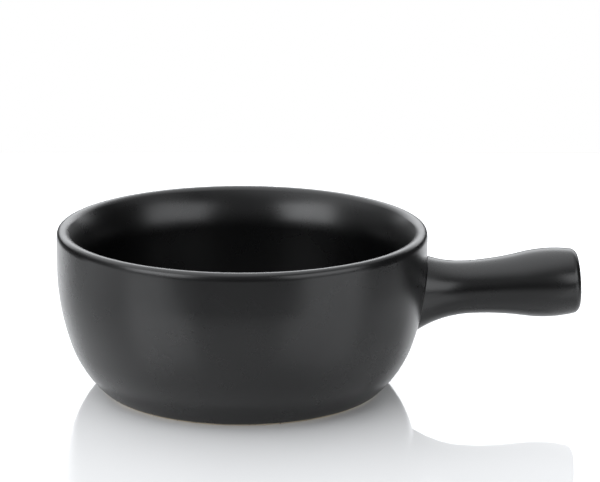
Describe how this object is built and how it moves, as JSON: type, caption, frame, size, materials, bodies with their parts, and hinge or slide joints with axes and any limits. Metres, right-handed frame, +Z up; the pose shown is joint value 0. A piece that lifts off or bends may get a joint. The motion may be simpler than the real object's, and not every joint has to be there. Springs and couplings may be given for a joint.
{
  "type": "fondue pot",
  "caption": "Round ceramic fondue pot with an upright thick rim, a belly that curves in to a flat foot, and a waisted stub handle at one side, glazed satin black.",
  "frame": {"origin": "centre of the foot ring, on the table", "axes": "+X from the bowl's axis along the handle, +Z up along the bowl's axis, +Y across the handle"},
  "size_m": [0.3121, 0.22, 0.096],
  "materials": {
    "stoneware": "matte",
    "slip": "matte",
    "glaze": "satin",
    "liner_glaze": "satin"
  },
  "bodies": {
    "root": {"bowl": "stoneware", "handle": "stoneware", "joining_slip": "slip", "outer_glaze": "glaze", "inner_glaze": "liner_glaze", "handle_glaze": "glaze", "base_glaze": "glaze"}
  },
  "joints": []
}
